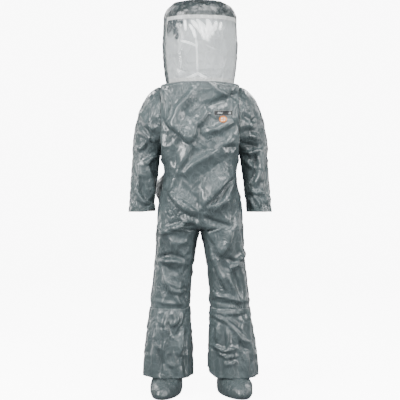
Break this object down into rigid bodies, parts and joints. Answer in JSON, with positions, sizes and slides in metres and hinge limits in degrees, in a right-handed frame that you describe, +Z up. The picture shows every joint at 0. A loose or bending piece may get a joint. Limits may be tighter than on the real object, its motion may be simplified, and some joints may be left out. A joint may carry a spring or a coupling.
{
  "type": "chemical protective suit",
  "caption": "Hooded one-piece chemical protective suit with a clear visor, rear zip, expanded back, cuffs, sock feet and boot flaps, with joints where the wearer bends.",
  "frame": {"origin": "bearing point of the hang loop, inside its top, on the suit's middle plane", "axes": "+Z up, +X to the wearer's left, -Y the way the visor faces"},
  "size_m": [0.703, 0.5486, 1.9422],
  "materials": {
    "coated_fabric": "glossy laminated film over a nonwoven base, finely creased",
    "visor_film": "clear flexible film, slightly wavy",
    "seam_tape": "heat-sealed translucent film tape",
    "zip_fabric": "woven tape",
    "moulded_plastic": "moulded",
    "knitted_elastic": "knitted elastic",
    "valve_rubber": "smooth",
    "label_print": "printed film",
    "badge_print": "printed film",
    "hook_and_loop": "hook and loop pile",
    "loop_webbing": "woven webbing"
  },
  "bodies": {
    "suit": {"hood_left_panel": "coated_fabric", "hood_right_panel": "coated_fabric", "hood_crown": "coated_fabric", "visor": "visor_film", "visor_seal_tape": "seam_tape", "hood_back_seam_tape": "seam_tape", "hood_base_seam_tape": "seam_tape", "hang_loop": "loop_webbing", "torso_front_panel": "coated_fabric", "torso_back_left_panel": "coated_fabric", "torso_back_right_panel": "coated_fabric", "chest_label": "label_print", "chest_tag": "badge_print", "left_seat_panel": "coated_fabric", "right_seat_panel": "coated_fabric", "zip_chain": "moulded_plastic", "zip_left_tape": "zip_fabric", "zip_right_tape": "zip_fabric", "zip_top_stop": "moulded_plastic", "zip_bottom_stop": "moulded_plastic", "loop_strip": "hook_and_loop", "left_valve_seat": "moulded_plastic", "right_valve_seat": "moulded_plastic", "left_valve_cover": "moulded_plastic", "right_valve_cover": "moulded_plastic"},
    "left_upper_sleeve": {"left_sleeve_upper": "coated_fabric", "left_sleeve_elbow": "coated_fabric"},
    "left_lower_sleeve": {"left_sleeve_lower": "coated_fabric", "left_cuff_hem": "coated_fabric", "left_cuff_elastic": "knitted_elastic"},
    "left_thigh": {"left_leg_thigh": "coated_fabric", "left_leg_knee": "coated_fabric"},
    "left_shin": {"left_leg_shin": "coated_fabric", "left_boot_flap": "coated_fabric", "left_bootie_upper": "coated_fabric", "left_bootie_sole": "coated_fabric"},
    "left_valve_disc": {"left_valve_disc": "valve_rubber"},
    "right_upper_sleeve": {"right_sleeve_upper": "coated_fabric", "right_sleeve_elbow": "coated_fabric"},
    "right_lower_sleeve": {"right_sleeve_lower": "coated_fabric", "right_cuff_hem": "coated_fabric", "right_cuff_elastic": "knitted_elastic"},
    "right_thigh": {"right_leg_thigh": "coated_fabric", "right_leg_knee": "coated_fabric"},
    "right_shin": {"right_leg_shin": "coated_fabric", "right_boot_flap": "coated_fabric", "right_bootie_upper": "coated_fabric", "right_bootie_sole": "coated_fabric"},
    "right_valve_disc": {"right_valve_disc": "valve_rubber"},
    "slider": {"zip_slider": "moulded_plastic", "zip_slider_back_plate": "moulded_plastic"},
    "pull": {"zip_pull_tab": "moulded_plastic"},
    "storm_flap": {"storm_flap": "coated_fabric", "hook_strip": "hook_and_loop"}
  },
  "joints": [
    {"name": "left_shoulder", "type": "hinge", "parent": "suit", "child": "left_upper_sleeve", "pos_m": [0.1885, 0, -0.6], "axis": [-1, 0, 0], "range_deg": [-30, 120]},
    {"name": "left_elbow", "type": "hinge", "parent": "left_upper_sleeve", "child": "left_lower_sleeve", "pos_m": [0.2685, 0, -0.85], "axis": [-1, 0, 0], "range_deg": [0, 90], "deforming": ["left_sleeve_elbow"]},
    {"name": "left_hip", "type": "hinge", "parent": "suit", "child": "left_thigh", "pos_m": [0.114, 0, -1.18], "axis": [-1, 0, 0], "range_deg": [-15, 75], "deforming": ["left_seat_panel"]},
    {"name": "left_knee", "type": "hinge", "parent": "left_thigh", "child": "left_shin", "pos_m": [0.138, 0, -1.41], "axis": [1, 0, 0], "range_deg": [0, 75], "deforming": ["left_leg_knee"]},
    {"name": "left_valve_lift", "type": "slide", "parent": "suit", "child": "left_valve_disc", "axis": [0, 0.9957, 0.0928], "range_m": [0, 0.0015], "stiffness_N_per_m": 40},
    {"name": "right_shoulder", "type": "hinge", "parent": "suit", "child": "right_upper_sleeve", "pos_m": [-0.1885, 0, -0.6], "axis": [-1, 0, 0], "range_deg": [-30, 120]},
    {"name": "right_elbow", "type": "hinge", "parent": "right_upper_sleeve", "child": "right_lower_sleeve", "pos_m": [-0.2685, 0, -0.85], "axis": [-1, 0, 0], "range_deg": [0, 90], "deforming": ["right_sleeve_elbow"]},
    {"name": "right_hip", "type": "hinge", "parent": "suit", "child": "right_thigh", "pos_m": [-0.114, 0, -1.18], "axis": [-1, 0, 0], "range_deg": [-15, 75], "deforming": ["right_seat_panel"]},
    {"name": "right_knee", "type": "hinge", "parent": "right_thigh", "child": "right_shin", "pos_m": [-0.138, 0, -1.41], "axis": [1, 0, 0], "range_deg": [0, 75], "deforming": ["right_leg_knee"]},
    {"name": "right_valve_lift", "type": "slide", "parent": "suit", "child": "right_valve_disc", "axis": [0, 0.9957, 0.0928], "range_m": [0, 0.0015], "stiffness_N_per_m": 40},
    {"name": "zip_slide", "type": "slide", "parent": "suit", "child": "slider", "axis": [0, 0.0928, -0.9957], "range_m": [0, 0.52]},
    {"name": "pull_swing", "type": "hinge", "parent": "slider", "child": "pull", "pos_m": [0, 0.24628, -0.49025], "axis": [1, 0, 0], "range_deg": [0, 20]},
    {"name": "storm_flap_hinge", "type": "hinge", "parent": "suit", "child": "storm_flap", "pos_m": [-0.048, 0.26774, -0.75863], "axis": [0, -0.0928, 0.9957], "range_deg": [0, 125]}
  ]
}
